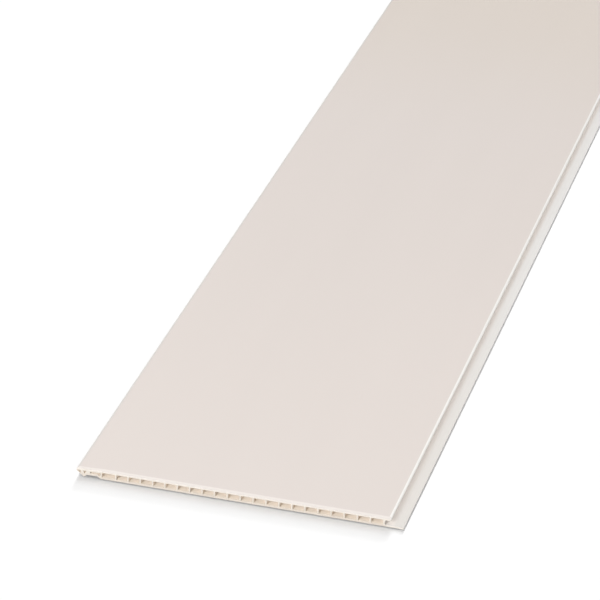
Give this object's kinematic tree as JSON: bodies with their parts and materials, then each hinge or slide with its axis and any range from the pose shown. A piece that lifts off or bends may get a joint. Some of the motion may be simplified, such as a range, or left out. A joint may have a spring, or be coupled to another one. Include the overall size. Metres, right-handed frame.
{
  "type": "pvc wall panel",
  "caption": "Hollow extruded wall and ceiling panel: flat face over a row of cells, hooked nose on one long edge, lipped groove and fixing flange on the other.",
  "frame": {"origin": "middle of the back face, which lies on the floor", "axes": "+X across the panel from the nose edge to the fixing flange, +Y along the panel, +Z out of the face"},
  "size_m": [0.26, 2.6, 0.007],
  "materials": {
    "pvc": "satin"
  },
  "bodies": {
    "root": {"wall_panel": "pvc"}
  },
  "joints": []
}
